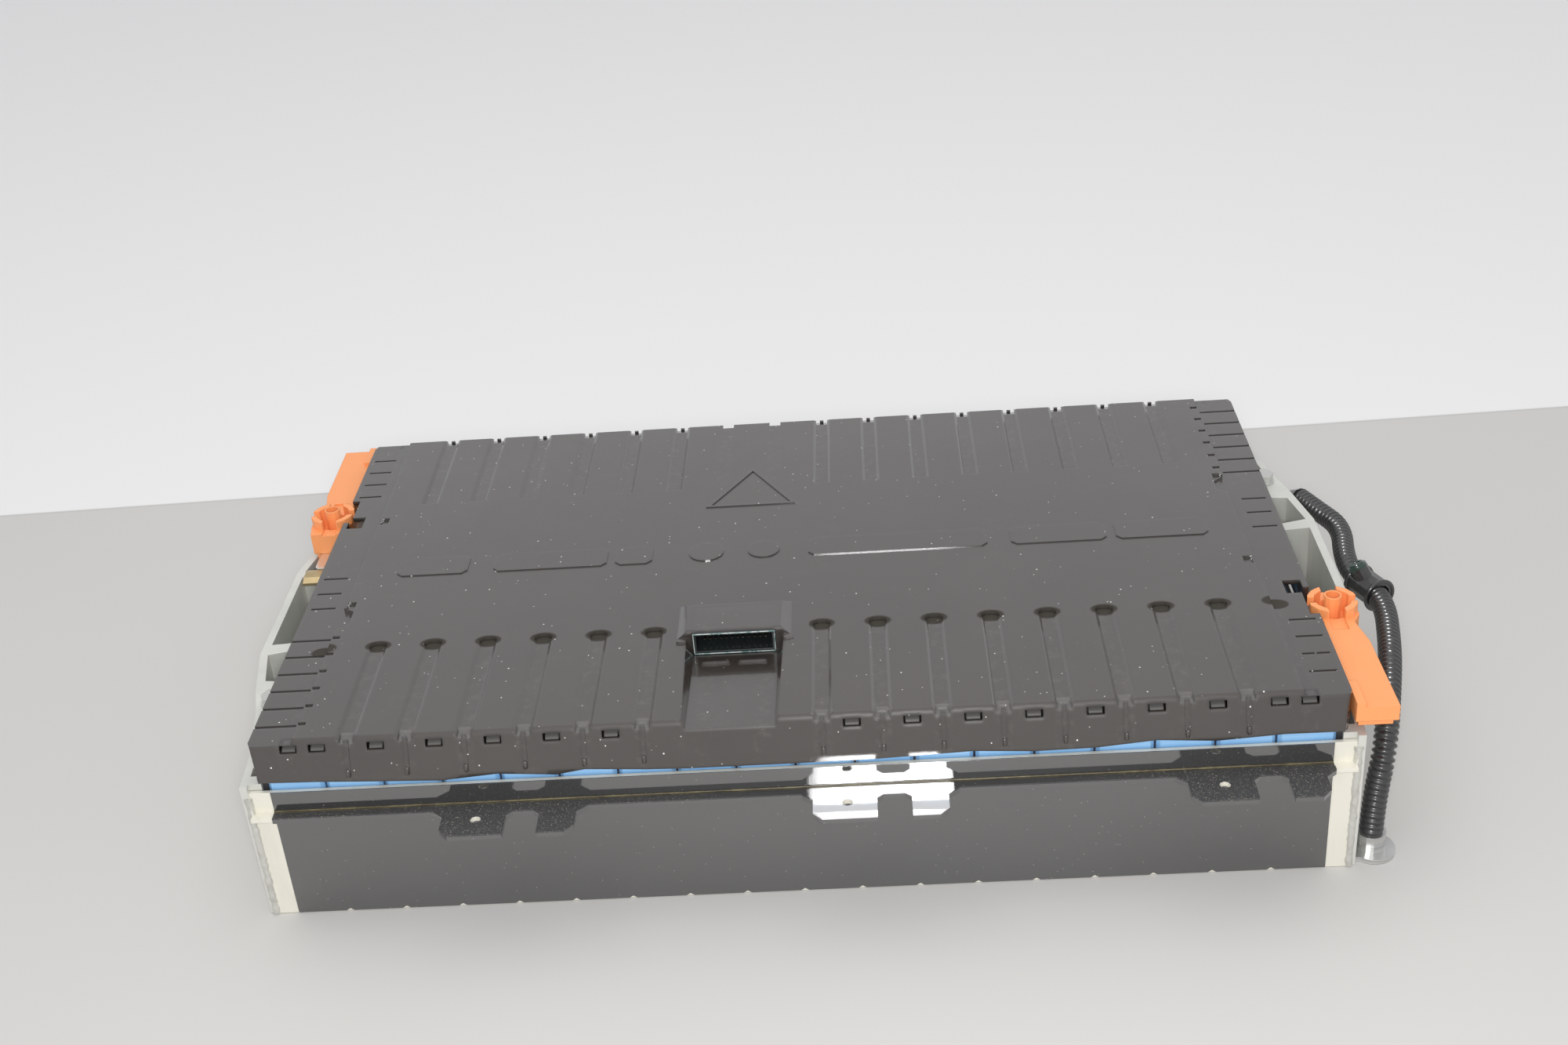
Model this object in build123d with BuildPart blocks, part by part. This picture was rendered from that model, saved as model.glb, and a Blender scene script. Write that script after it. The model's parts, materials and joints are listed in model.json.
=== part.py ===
"""Battery module of an electric car: one row of 18 prismatic cells held between two side plates and two
end plates, with a plastic top cover, a low-voltage socket and two insulated power terminals.

Frame: +X runs along the row of cells, -Y is the long side that carries the low-voltage socket, +Z is up.
The origin is on the base, at the middle of the row and of the depth. Millimetres.
"""

import math
import os

from build123d import *

os.makedirs("parts", exist_ok=True)

# ---------------------------------------------------------------- driving dimensions
CELLS = 18
CELL_T = 27.2  # cell thickness along the row
PAD_T = 1.0  # foam pad between two cells
PITCH = CELL_T + PAD_T
STACK = CELLS * CELL_T + (CELLS - 1) * PAD_T
CELL_LEN = 311.6  # cell length across the module
CELL_BASE = 3.5  # height of the cell's underside
CELL_TOP = 84.0
TERM = (16.0, 34.0, 3.0)  # cell terminal block
TERM_Y = 118.0

PLATE_T = 3.0  # side plate
PLATE_LEN = 524.4
PLATE_TOP = 73.5
PLATE_Y = 160.0  # outer face of the lower wall
UPPER_Y = 159.1  # outer face of the wall above the ledge
LEDGE_TOP = 62.0
LEDGE_T = 2.2
LEDGE_OUT = 4.6
FLANGE_IN = 22.0  # base flange under the cells
FLANGE_T = 2.5
STRIP = 10.6  # bare strip at each end of the side plate
FILM_T = 0.4

TAB_OUT = 23.8  # tab reach from the lower wall
TAB_X = (-130.0, 46.0, 221.0)  # notch centres
TAB_L, TAB_R = 38.0, 25.0  # tab edges either side of the notch centre
NOTCH_W, NOTCH_D = 17.0, 17.0
TAB_HOLE_X, TAB_HOLE_Y, TAB_HOLE_R = -22.0, 12.6, 2.3

END_IN = 256.0  # inner face of the end plate
END_TOP = 77.0
END_WALL = 4.2
BOW = [(266.0, 159.6), (268.0, 130.0), (274.5, 95.0), (279.5, 76.0), (286.0, 42.0)]
END_BOLT = (267.0, 88.0)

COVER_X = 259.5
CREASE_Y = 154.0
COVER_TOP = 100.0
LEDGE_X = 237.5
LEDGE_Z = 97.5
SKIRT_Y = 160.4
SKIRT_Z = 77.0
WALL = 2.5
GROOVE_X = [(-7.5 + k) * PITCH for k in range(6)] + [(0.5 + k) * PITCH for k in range(8)]
GROOVE_W, GROOVE_D, GROOVE_IN = 6.6, 1.2, 75.0
GROOVE_SLOPE = 50.0  # lean of the groove's sides, degrees
WINDOW = (8.3, 3.9)
WINDOW_Z = 95.4
WINDOW_X = [-239.5, -225.7, -197.5, -169.5, -141.5, -113.5, -85.5, 28.0, 56.2, 84.6, 112.8, 141.2, 169.4, 197.6, 225.8, 239.8]

LANE_X0, LANE_X1 = -52.0, -6.5
SOCKET_Y = -84.0
HOOD_TOP = 104.6

POLE = (268.5, -73.0)  # axis of the right-hand power terminal
STUD_R = 3.2

HOSE_R = 6.2
SLEEVE = (276.0, -147.0)
SLEEVE_R = 7.1
SLEEVE_TOP = 11.0
SIDES = 12  # sides of the plain round forms


def save(piece, label):
    piece.part.label = label
    export_step(piece.part, f"parts/{label}.step")


def turned(piece, label):
    """The same piece on the other side of the module, turned half round about Z."""
    with BuildPart() as other:
        add(piece.part.rotate(Axis.Z, 180))
    save(other, label)
    return other


# ---------------------------------------------------------------- side plates, front one first
def tab_points(cx, grow=0.0):
    """Outline of one tab with its square notch, drawn from the wall outwards."""
    root = -(PLATE_Y + LEDGE_OUT - 1.5)
    edge = -(PLATE_Y + TAB_OUT)
    x0, x1 = cx - TAB_L - grow, cx + TAB_R + grow
    n0, n1 = cx - NOTCH_W / 2 + grow, cx + NOTCH_W / 2 - grow
    return [
        (x0 - 5.5, root + 1.0),
        (x0 - 5.5, root - 1.5 - grow),
        (x0, root - 6.0 - grow),
        (x0, edge + 4.5),
        (x0 + 4.5, edge - grow),
        (n0, edge - grow),
        (n0, edge + NOTCH_D - 3.0),
        (n0 + 3.0, edge + NOTCH_D - grow),
        (n1 - 3.0, edge + NOTCH_D - grow),
        (n1, edge + NOTCH_D - 3.0),
        (n1, edge - grow),
        (x1 - 4.5, edge - grow),
        (x1, edge + 4.5),
        (x1, root - 6.0 - grow),
        (x1 + 5.5, root - 1.5 - grow),
        (x1 + 5.5, root + 1.0),
    ]


# wall, base flange and ledge as one folded section
with BuildPart() as side_plate_front:
    with BuildSketch(Plane.YZ):
        with BuildLine():
            Polyline(
                (-PLATE_Y, 0),
                (-PLATE_Y, LEDGE_TOP - LEDGE_T),
                (-PLATE_Y - LEDGE_OUT, LEDGE_TOP - LEDGE_T),
                (-PLATE_Y - LEDGE_OUT, LEDGE_TOP),
                (-UPPER_Y, LEDGE_TOP),
                (-UPPER_Y, PLATE_TOP),
                (-PLATE_Y + PLATE_T, PLATE_TOP),
                (-PLATE_Y + PLATE_T, FLANGE_T),
                (-PLATE_Y + FLANGE_IN, FLANGE_T),
                (-PLATE_Y + FLANGE_IN, 0),
                close=True,
            )
        make_face()
    extrude(amount=PLATE_LEN / 2, both=True)
    # the base flange stops short of the end plates
    with BuildSketch():
        for s in (-1, 1):
            with Locations((s * (END_IN + 5), -PLATE_Y + PLATE_T + 15)):
                Rectangle(10, 30)
    extrude(amount=FLANGE_T, mode=Mode.SUBTRACT)
    with BuildSketch(Plane.XY.offset(LEDGE_TOP - LEDGE_T)):
        for cx in TAB_X:
            with BuildLine():
                Polyline(*tab_points(cx), close=True)
            make_face()
        with Locations([(cx + TAB_HOLE_X, -PLATE_Y - TAB_HOLE_Y) for cx in TAB_X]):
            Circle(TAB_HOLE_R, mode=Mode.SUBTRACT)
    extrude(amount=LEDGE_T)

save(side_plate_front, "side_plate_front")
side_plate_back = turned(side_plate_front, "side_plate_back")

# glossy insulating film wrapped over the wall, the ledge and the tabs
FILM_X = PLATE_LEN / 2 - STRIP
with BuildPart() as side_film_front:
    with BuildSketch(Plane.YZ):
        with BuildLine():
            Polyline(
                (-PLATE_Y - FILM_T, 0.3),
                (-PLATE_Y - FILM_T, LEDGE_TOP - LEDGE_T - FILM_T),
                (-PLATE_Y - LEDGE_OUT - FILM_T, LEDGE_TOP - LEDGE_T - FILM_T),
                (-PLATE_Y - LEDGE_OUT - FILM_T, LEDGE_TOP + FILM_T),
                (-UPPER_Y - FILM_T, LEDGE_TOP + FILM_T),
                (-UPPER_Y - FILM_T, PLATE_TOP),
                (-UPPER_Y + 0.5, PLATE_TOP),
                (-UPPER_Y + 0.5, 0.3),
                close=True,
            )
        make_face()
    extrude(amount=FILM_X, both=True)
    with BuildSketch(Plane.XY.offset(LEDGE_TOP - LEDGE_T - FILM_T)):
        for cx in TAB_X:
            with BuildLine():
                Polyline(*tab_points(cx, FILM_T), close=True)
            make_face()
        with Locations([(cx + TAB_HOLE_X, -PLATE_Y - TAB_HOLE_Y) for cx in TAB_X]):
            RegularPolygon(TAB_HOLE_R + 0.4, 8, mode=Mode.SUBTRACT)
    extrude(amount=LEDGE_T + 2 * FILM_T)
    add(side_plate_front.part, mode=Mode.SUBTRACT)
    # small nicks along the lower edge, one at each joint between cells
    for k in range(-8, 9):
        with BuildSketch(Plane.XZ.offset(PLATE_Y - 1)):
            with BuildLine():
                Polyline((k * PITCH - 2.4, 0.0), (k * PITCH + 2.4, 0.0), (k * PITCH, 1.6), close=True)
            make_face()
        extrude(amount=3, mode=Mode.SUBTRACT)

save(side_film_front, "side_film_front")
side_film_back = turned(side_film_front, "side_film_back")

# liner between the side plate and the ends of the cells
with BuildPart() as side_liner_front:
    with BuildSketch(Plane.YZ):
        with Locations((-(PLATE_Y - PLATE_T + CELL_LEN / 2) / 2, (FLANGE_T + 72.5) / 2)):
            Rectangle(PLATE_Y - PLATE_T - CELL_LEN / 2, 72.5 - FLANGE_T)
    extrude(amount=STACK / 2, both=True)

save(side_liner_front, "side_liner_front")
side_liner_back = turned(side_liner_front, "side_liner_back")

# insulating tray under the cells: it fills the space between the base flanges and laps over both of them
with BuildPart() as base_sheet:
    with BuildSketch():
        Rectangle(STACK, 2 * (PLATE_Y - FLANGE_IN - 0.1))
    extrude(amount=FLANGE_T)
    with BuildSketch(Plane.XY.offset(FLANGE_T)):
        Rectangle(STACK, CELL_LEN)
    extrude(amount=CELL_BASE - FLANGE_T)

save(base_sheet, "base_sheet")

# ---------------------------------------------------------------- cells
for number in range(CELLS):
    cx = (number - (CELLS - 1) / 2) * PITCH
    with BuildPart() as cell:
        with BuildSketch(Plane.XY.offset(CELL_BASE)):
            with Locations((cx, 0)):
                cell_outline = Rectangle(CELL_T, CELL_LEN)
                chamfer(cell_outline.vertices(), 1.8)
        extrude(amount=CELL_TOP - CELL_BASE)
        with BuildSketch(Plane.XY.offset(CELL_TOP)):
            with Locations((cx, TERM_Y), (cx, -TERM_Y)):
                Rectangle(TERM[0], TERM[1])
        extrude(amount=TERM[2])
    save(cell, f"cell_{number + 1:02d}")

with BuildPart() as cell_pads:
    with BuildSketch(Plane.XY.offset(CELL_BASE)):
        with GridLocations(PITCH, 1, CELLS - 1, 1):
            Rectangle(PAD_T, CELL_LEN - 8)
    extrude(amount=CELL_TOP - CELL_BASE - 4)

save(cell_pads, "cell_pads")

with BuildPart() as end_insulator_right:
    with BuildSketch(Plane.XY.offset(FLANGE_T)):
        with Locations(((STACK / 2 + END_IN) / 2, 0)):
            Rectangle(END_IN - STACK / 2, CELL_LEN - 2)
    extrude(amount=CELL_TOP - 2 - FLANGE_T)

save(end_insulator_right, "end_insulator_right")
end_insulator_left = turned(end_insulator_right, "end_insulator_left")

# carrier that lies on the cells, is open over their terminals and latches into the cover's windows
CATCH_Y = 151.2
with BuildPart() as contact_carrier:
    with BuildSketch(Plane.XY.offset(CELL_TOP)):
        Rectangle(2 * (STACK / 2 - 1), 2 * (CATCH_Y + 0.7))
        with GridLocations(1, 2 * TERM_Y, 1, 2):
            Rectangle(STACK - 8, TERM[1] + 2, mode=Mode.SUBTRACT)
        Rectangle(STACK - 36, 2 * (TERM_Y - TERM[1] / 2 - 12), mode=Mode.SUBTRACT)
    extrude(amount=2.0)
    for side in (-1, 1):
        with BuildSketch(Plane.XY.offset(CELL_TOP)):
            with Locations([(wx, side * CATCH_Y) for wx in WINDOW_X]):
                Rectangle(7.0, 1.4)
        extrude(amount=WINDOW_Z + 1.4 - CELL_TOP)
        with BuildSketch(Plane.YZ):
            with BuildLine():
                Polyline(
                    (side * (CATCH_Y + 0.6), WINDOW_Z - 1.6),
                    (side * (CATCH_Y + 3.9), WINDOW_Z - 1.6),
                    (side * (CATCH_Y + 3.7), WINDOW_Z - 0.7),
                    (side * (CATCH_Y + 0.6), WINDOW_Z + 1.3),
                    close=True,
                )
            make_face()
        catch = extrude(amount=3.2, both=True, mode=Mode.PRIVATE)
        for wx in WINDOW_X:
            add(catch.moved(Location((wx, 0, 0))))

save(contact_carrier, "contact_carrier")

# plates that link one pair of cells to the next, alternately on the back and the front terminals
BAR_Z = CELL_TOP + TERM[2]
BAR_T = 1.5
GROUP = 2 * PITCH
LEFT_END = -CELLS / 2 * PITCH
with BuildPart() as cell_links:
    with BuildSketch(Plane.XY.offset(BAR_Z)):
        for k in range(CELLS // 2 - 1):
            with Locations((LEFT_END + (k + 1) * GROUP, -TERM_Y if k % 2 == 0 else TERM_Y)):
                link_outline = Rectangle(2 * GROUP - 8, TERM[1] - 2)
                chamfer(link_outline.vertices(), 3)
    extrude(amount=BAR_T)

save(cell_links, "cell_links")

# end terminals: a plate on the last pair of cells that steps down over the end plate
FLAT_Z = 78.6
with BuildPart() as terminal_bar_right:
    with BuildSketch(Plane.XY.offset(BAR_Z)):
        with Locations(((LEFT_END * -1 - GROUP + 4 + 264.0) / 2, -TERM_Y)):
            Rectangle(264.0 - (-LEFT_END - GROUP + 4), TERM[1] - 2)
    extrude(amount=BAR_T)
    with BuildSketch(Plane.XY.offset(FLAT_Z)):
        with Locations((263.25, -TERM_Y)):
            Rectangle(1.5, TERM[1] - 2)
    extrude(amount=BAR_Z - FLAT_Z)
    with BuildSketch(Plane.XY.offset(FLAT_Z)):
        with Locations((268.0, (-TERM_Y - TERM[1] / 2 + POLE[1] + 9.0) / 2)):
            Rectangle(11.0, TERM_Y + TERM[1] / 2 + POLE[1] + 9.0)
        with Locations(POLE):
            RegularPolygon(STUD_R + 0.3, SIDES, mode=Mode.SUBTRACT)
    extrude(amount=BAR_T)

save(terminal_bar_right, "terminal_bar_right")
terminal_bar_left = turned(terminal_bar_right, "terminal_bar_left")

# ---------------------------------------------------------------- end plates: bowed extrusions with open chambers
with BuildPart() as end_plate_right:
    with BuildSketch():
        with BuildLine():
            Polyline(
                (END_IN, -CELL_LEN / 2 - 0.8),
                (PLATE_LEN / 2, -CELL_LEN / 2 - 0.8),
                (PLATE_LEN / 2, -BOW[0][1]),
                *[(x, -y) for x, y in BOW],
                *[(x, y) for x, y in reversed(BOW)],
                (PLATE_LEN / 2, BOW[0][1]),
                (PLATE_LEN / 2, CELL_LEN / 2 + 0.8),
                (END_IN, CELL_LEN / 2 + 0.8),
                close=True,
            )
        make_face()
        # chambers between the flat inner wall and the bowed outer wall
        with BuildLine():
            Polyline((END_IN + 4, -33), (281.6, -37), (281.6, 33), (END_IN + 4, 31), close=True)
        make_face(mode=Mode.SUBTRACT)
        for s in (-1, 1):
            with BuildLine():
                Polyline(
                    (END_IN + 4, s * 37),
                    (281.4, s * 42.5),
                    (276.4, s * 67.5),
                    (END_IN + 4, s * 69.5),
                    close=True,
                )
            make_face(mode=Mode.SUBTRACT)
            with BuildLine():
                Polyline(
                    (END_IN + 4, s * 102),
                    (268.8, s * 103),
                    (264.2, s * 129),
                    (262.6, s * 150),
                    (END_IN + 4, s * 150),
                    close=True,
                )
            make_face(mode=Mode.SUBTRACT)
        with Locations(END_BOLT, POLE):
            RegularPolygon(STUD_R + 0.3, SIDES, mode=Mode.SUBTRACT)
    extrude(amount=END_TOP)

save(end_plate_right, "end_plate_right")
end_plate_left = turned(end_plate_right, "end_plate_left")

with BuildPart() as end_bolts:
    with BuildSketch(Plane.XY.offset(END_TOP - 40)):
        with Locations(END_BOLT, (-END_BOLT[0], -END_BOLT[1])):
            RegularPolygon(3.0, SIDES)
    extrude(amount=40.0)
    with BuildSketch(Plane.XY.offset(END_TOP)):
        with Locations(END_BOLT, (-END_BOLT[0], -END_BOLT[1])):
            RegularPolygon(6.4, SIDES)
    extrude(amount=1.2)
    with BuildSketch(Plane.XY.offset(END_TOP + 1.2)):
        with Locations(END_BOLT, (-END_BOLT[0], -END_BOLT[1])):
            RegularPolygon(5.6, 6)
    extrude(amount=4.0)

save(end_bolts, "end_bolts")

# ---------------------------------------------------------------- top cover
def skirt_y(z):
    """Outer face of the long skirts, which lean outwards as they go down."""
    return SKIRT_Y - (SKIRT_Y - CREASE_Y - 0.3) * (z - 81.0) / (98.8 - 81.0) if z > 81.0 else SKIRT_Y


# right-hand step between the main panel and the lower side ledge; the left one is the same turned half round
STEP = [(LEDGE_X, -170), (LEDGE_X, 37), (LEDGE_X - 6, 41), (LEDGE_X - 6, 52), (LEDGE_X, 57), (LEDGE_X, 170)]
LONG_LINES = [63.5, 78.5, 94.0, 109.0, 124.0, 139.0]
SHORT_LINES = [2.0, 17.5, 32.5, -90.0, -105.0, -120.0, -135.0]

with BuildPart() as cover:
    with BuildSketch(Plane.YZ):
        with BuildLine():
            Polyline(
                (-SKIRT_Y, SKIRT_Z),
                (-SKIRT_Y, 81.0),
                (-CREASE_Y - 0.3, 98.8),
                (-CREASE_Y + 1.3, COVER_TOP),
                (CREASE_Y - 1.3, COVER_TOP),
                (CREASE_Y + 0.3, 98.8),
                (SKIRT_Y, 81.0),
                (SKIRT_Y, SKIRT_Z),
                close=True,
            )
        make_face()
    extrude(amount=COVER_X, both=True)
    # lower side ledges
    for turn in (0, 180):
        with BuildSketch(Plane.XY.offset(LEDGE_Z).rotated((0, 0, turn))):
            with BuildLine():
                Polyline(*STEP, (COVER_X + 5, 170), (COVER_X + 5, -170), close=True)
            make_face()
        extrude(amount=5, mode=Mode.SUBTRACT)
    # corner bevels of the skirt
    for turn in (0, 180):
        with BuildSketch(Plane.XY.offset(SKIRT_Z - 1).rotated((0, 0, turn))):
            for s in (-1, 1):
                with BuildLine():
                    Polyline(
                        (COVER_X - 4.0, s * (SKIRT_Y + 1)),
                        (COVER_X - 4.0, s * SKIRT_Y),
                        (COVER_X, s * (SKIRT_Y - 9.0)),
                        (COVER_X + 1, s * (SKIRT_Y - 9.0)),
                        (COVER_X + 1, s * (SKIRT_Y + 1)),
                        close=True,
                    )
                make_face()
        extrude(amount=30, mode=Mode.SUBTRACT)
    # hollow inside
    with BuildSketch(Plane.YZ):
        with BuildLine():
            Polyline(
                (-SKIRT_Y + WALL, SKIRT_Z - 1),
                (-SKIRT_Y + WALL, 81.0),
                (-CREASE_Y - 0.3 + WALL, COVER_TOP - WALL),
                (CREASE_Y + 0.3 - WALL, COVER_TOP - WALL),
                (SKIRT_Y - WALL, 81.0),
                (SKIRT_Y - WALL, SKIRT_Z - 1),
                close=True,
            )
        make_face()
    extrude(amount=LEDGE_X - 8, both=True, mode=Mode.SUBTRACT)
    with BuildSketch(Plane.YZ):
        with BuildLine():
            Polyline(
                (-SKIRT_Y + WALL, SKIRT_Z - 1),
                (-SKIRT_Y + WALL, 81.0),
                (-CREASE_Y - 0.3 + WALL, LEDGE_Z - WALL),
                (CREASE_Y + 0.3 - WALL, LEDGE_Z - WALL),
                (SKIRT_Y - WALL, 81.0),
                (SKIRT_Y - WALL, SKIRT_Z - 1),
                close=True,
            )
        make_face()
    extrude(amount=COVER_X - 3.5, both=True, mode=Mode.SUBTRACT)
    # the end skirts stop above the end plates, and are open where the power terminals come out
    with BuildSketch(Plane.XY.offset(SKIRT_Z - 1)):
        with Locations((COVER_X, 0), (-COVER_X, 0)):
            Rectangle(10, 2 * (SKIRT_Y - 12))
    extrude(amount=9.0, mode=Mode.SUBTRACT)
    for turn in (0, 180):
        with BuildSketch(Plane.XY.offset(SKIRT_Z - 1).rotated((0, 0, turn))):
            with Locations((COVER_X, (-140.0 - 64.0) / 2)):
                Rectangle(10, 76.0)
        extrude(amount=LEDGE_Z - WALL - SKIRT_Z + 1, mode=Mode.SUBTRACT)
        with BuildSketch(Plane.XY.offset(SKIRT_Z - 1).rotated((0, 0, turn))):
            with Locations((COVER_X, POLE[1])):
                Rectangle(9.0, 25.0)
            with Locations((252.0, -59.5)):
                Rectangle(9.0, 12.0)
        extrude(amount=30, mode=Mode.SUBTRACT)
    # grooves over the middle of each cell, deep to the crease, with a dimple at the inner end
    with BuildSketch(Plane.XY.offset(COVER_TOP - GROOVE_D)):
        for s in (-1, 1):
            with Locations([(gx, s * (GROOVE_IN + 165) / 2) for gx in GROOVE_X]):
                Rectangle(GROOVE_W, 165 - GROOVE_IN)
    extrude(amount=GROOVE_D + 0.1, taper=-GROOVE_SLOPE, mode=Mode.SUBTRACT)
    for s in (-1, 1):
        with BuildSketch(Plane.YZ):
            with BuildLine():
                Polyline(
                    (s * (CREASE_Y - 5.5), COVER_TOP - GROOVE_D),
                    (s * (CREASE_Y + 3.0), COVER_TOP - GROOVE_D - 2.6),
                    (s * (CREASE_Y + 3.0), COVER_TOP),
                    (s * (CREASE_Y - 5.5), COVER_TOP),
                    close=True,
                )
            make_face()
        notch = extrude(amount=GROOVE_W / 2, both=True, mode=Mode.PRIVATE)
        for gx in GROOVE_X + [-1.5 * PITCH, -0.5 * PITCH]:
            if s > 0 or gx in GROOVE_X:
                add(notch.moved(Location((gx, 0, 0))), mode=Mode.SUBTRACT)
    with BuildSketch(Plane.XY.offset(COVER_TOP - 1.8)):
        with Locations([(gx, -GROOVE_IN) for gx in GROOVE_X]):
            dimple = Rectangle(9.2, 5.6)
        chamfer(dimple.vertices(), 1.9)
    extrude(amount=3, mode=Mode.SUBTRACT)
    # lines across the side ledges, the longer ones running into the step
    for turn in (0, 180):
        with BuildSketch(Plane.XY.offset(LEDGE_Z - 0.9).rotated((0, 0, turn))):
            with Locations([(250.0, y) for y in LONG_LINES]):
                Rectangle(22, 1.7)
            with Locations([(250.0, y) for y in SHORT_LINES]):
                Rectangle(13, 1.5)
        extrude(amount=1.0, mode=Mode.SUBTRACT)
        with BuildSketch(Plane.XY.offset(COVER_TOP - 1.2).rotated((0, 0, turn))):
            with Locations([(LEDGE_X - 1.8, y + 2.0) for y in LONG_LINES]):
                Rectangle(4.6, 2.4)
        extrude(amount=2.0, mode=Mode.SUBTRACT)
    # rounded marks beside the step
    with BuildSketch(Plane.XY.offset(COVER_TOP - 1.4)):
        with Locations([(sx * (LEDGE_X - 3.5), y) for sx in (-1, 1) for y in (-35.0, 55.0)]):
            Rectangle(4.6, 7.0)
    extrude(amount=2.0, mode=Mode.SUBTRACT)
    # latch windows through the long skirts
    for s in (-1, 1):
        with BuildSketch(Plane.XZ.offset(s * 149)):
            with Locations([(wx, WINDOW_Z) for wx in WINDOW_X]):
                Rectangle(*WINDOW)
        extrude(amount=s * 20, mode=Mode.SUBTRACT)
    # the skirt's lower edge rises and falls gently between the cells
    wave = [(-262, 80.4), (-228, 79.6), (-198, 78.2), (-168, 77.0), (-141, 79.4), (-113, 77.3), (-99, 79.6),
            (-70, 77.8), (-50, 77.2), (0, 77.2), (40, 77.6), (84, 79.4), (112, 77.6), (141, 78.0), (169, 80.6),
            (197, 78.6), (228, 80.6), (262, 80.4)]
    for s in (-1, 1):
        with BuildSketch(Plane.XZ.offset(s * (SKIRT_Y - 6))):
            with BuildLine():
                Polyline(*[(-s * -x, z) for x, z in wave], (s * 262, 70), (-s * 262, 70), close=True)
            make_face()
        extrude(amount=s * 10, mode=Mode.SUBTRACT)
    # ribs down the skirts in line with the grooves
    for s in (-1, 1):
        with BuildSketch(Plane.YZ):
            with BuildLine():
                Polyline(
                    (s * (skirt_y(98.6) - 1.0), 98.6),
                    (s * (skirt_y(98.6) + 0.5), 98.6),
                    (s * (skirt_y(82.4) + 0.6), 82.4),
                    (s * (skirt_y(82.4) - 1.0), 82.4),
                    close=True,
                )
            make_face()
        rib = extrude(amount=1.1, both=True, mode=Mode.PRIVATE)
        for gx in GROOVE_X:
            add(rib.moved(Location((gx, 0, 0))))
    # plain raised pads across the middle and a plain triangular frame
    with BuildSketch(Plane.XY.offset(COVER_TOP - 0.2)):
        for x0, x1 in ((-215.5, -177.0), (-163.0, -101.5), (-97.0, -77.0), (7.0, 102.5), (115.0, 165.5), (170.5, 219.0)):
            with Locations(((x0 + x1) / 2, 1.5)):
                pad = Rectangle(x1 - x0, 18.0)
            chamfer(pad.vertices(), 3.0)
        with Locations((-48.0, 1.5)):
            RegularPolygon(9.6, 2 * SIDES)
        with Locations((-17.0, 1.5)):
            RegularPolygon(8.8, 2 * SIDES)
    extrude(amount=0.8)
    with BuildSketch(Plane.XY.offset(COVER_TOP - 0.2)):
        with Locations((-25.5, 65.0)):
            RegularPolygon(29.0, 3, rotation=90)
            RegularPolygon(25.6, 3, rotation=90, mode=Mode.SUBTRACT)
    extrude(amount=0.8)
    # sunk lane that leads a plug to the socket: backing, then the sloped floor between its walls
    with BuildSketch(Plane.YZ.offset(LANE_X0 - WALL)):
        with BuildLine():
            Polyline((-155.0, 93.6), (-154.2, 98.9), (-152.0, 99.6), (SOCKET_Y, 99.6), (SOCKET_Y, 89.0), (-150.0, 92.6), close=True)
        make_face()
    extrude(amount=LANE_X1 - LANE_X0 + 2 * WALL)
    lane_floor = Plane(origin=((LANE_X0 + LANE_X1) / 2, -155.0, 96.0), x_dir=(1, 0, 0), z_dir=(0, 4.8, 71.0))
    with BuildSketch(lane_floor):
        with Locations((0, (71.2 - 8.0) / 2)):
            Rectangle(LANE_X1 - LANE_X0 - 3.0, 79.2)
    extrude(amount=12.0, taper=-20, mode=Mode.SUBTRACT)
    # hood over the socket, with flared sides
    with BuildSketch(Plane.XZ.offset(50.0)):
        with BuildLine():
            Polyline((-59.4, 99.0), (-53.2, HOOD_TOP), (-6.2, HOOD_TOP), (0.0, 99.0), (-6.0, 89.0), (-53.4, 89.0), close=True)
        make_face()
    hood = extrude(amount=-SOCKET_Y - 50.0, mode=Mode.PRIVATE)
    with BuildSketch(Plane.YZ.offset(-62.0)):
        with BuildLine():
            Polyline((-52.0, 99.0), (-58.5, HOOD_TOP - 0.5), (-82.6, HOOD_TOP), (SOCKET_Y, HOOD_TOP - 1.0), (SOCKET_Y, 88.0), (-60.0, 88.0), (-52.0, 97.5), close=True)
        make_face()
    hood_side = extrude(amount=66.0, mode=Mode.PRIVATE)
    add(hood & hood_side)
    # small ears where the lane's walls meet the hood
    with BuildSketch(Plane.XY.offset(COVER_TOP - 0.4)):
        with Locations((LANE_X0 - 4.0, -86.5), (LANE_X1 + 4.0, -86.5)):
            Rectangle(5.0, 2.4)
    extrude(amount=1.6)
    # pocket for the socket shell, and two low bars in front of it
    with BuildSketch(Plane.XZ.offset(-SOCKET_Y + 1)):
        with Locations((-29.7, 97.6)):
            Rectangle(41.2, 12.0)
    extrude(amount=-24.0, mode=Mode.SUBTRACT)
    with BuildSketch(Plane.XY.offset(90.6)):
        with Locations((-39.0, -94.5), (-20.5, -94.5)):
            Rectangle(14.0, 1.6)
    extrude(amount=2.6)

save(cover, "cover")

# shell of the low-voltage socket, open to the front, with its pin block inside
with BuildPart() as socket_shell:
    with BuildSketch(Plane.XZ.offset(-SOCKET_Y + 0.9)):
        with Locations((-29.7, 97.6)):
            Rectangle(41.2, 12.0)
            Rectangle(38.2, 9.2, mode=Mode.SUBTRACT)
    extrude(amount=-22.0)
    with BuildSketch(Plane.XZ.offset(-SOCKET_Y - 17.1)):
        with Locations((-29.7, 97.6)):
            Rectangle(38.6, 9.6)
    extrude(amount=-4.0)

save(socket_shell, "socket_shell")

with BuildPart() as socket_pins:
    with BuildSketch(Plane.XZ.offset(-SOCKET_Y - 17.1)):
        with Locations((-29.7, 97.6)):
            with GridLocations(2.8, 3.6, 12, 2):
                Rectangle(0.8, 0.8)
    extrude(amount=11.0)

save(socket_pins, "socket_pins")

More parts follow.
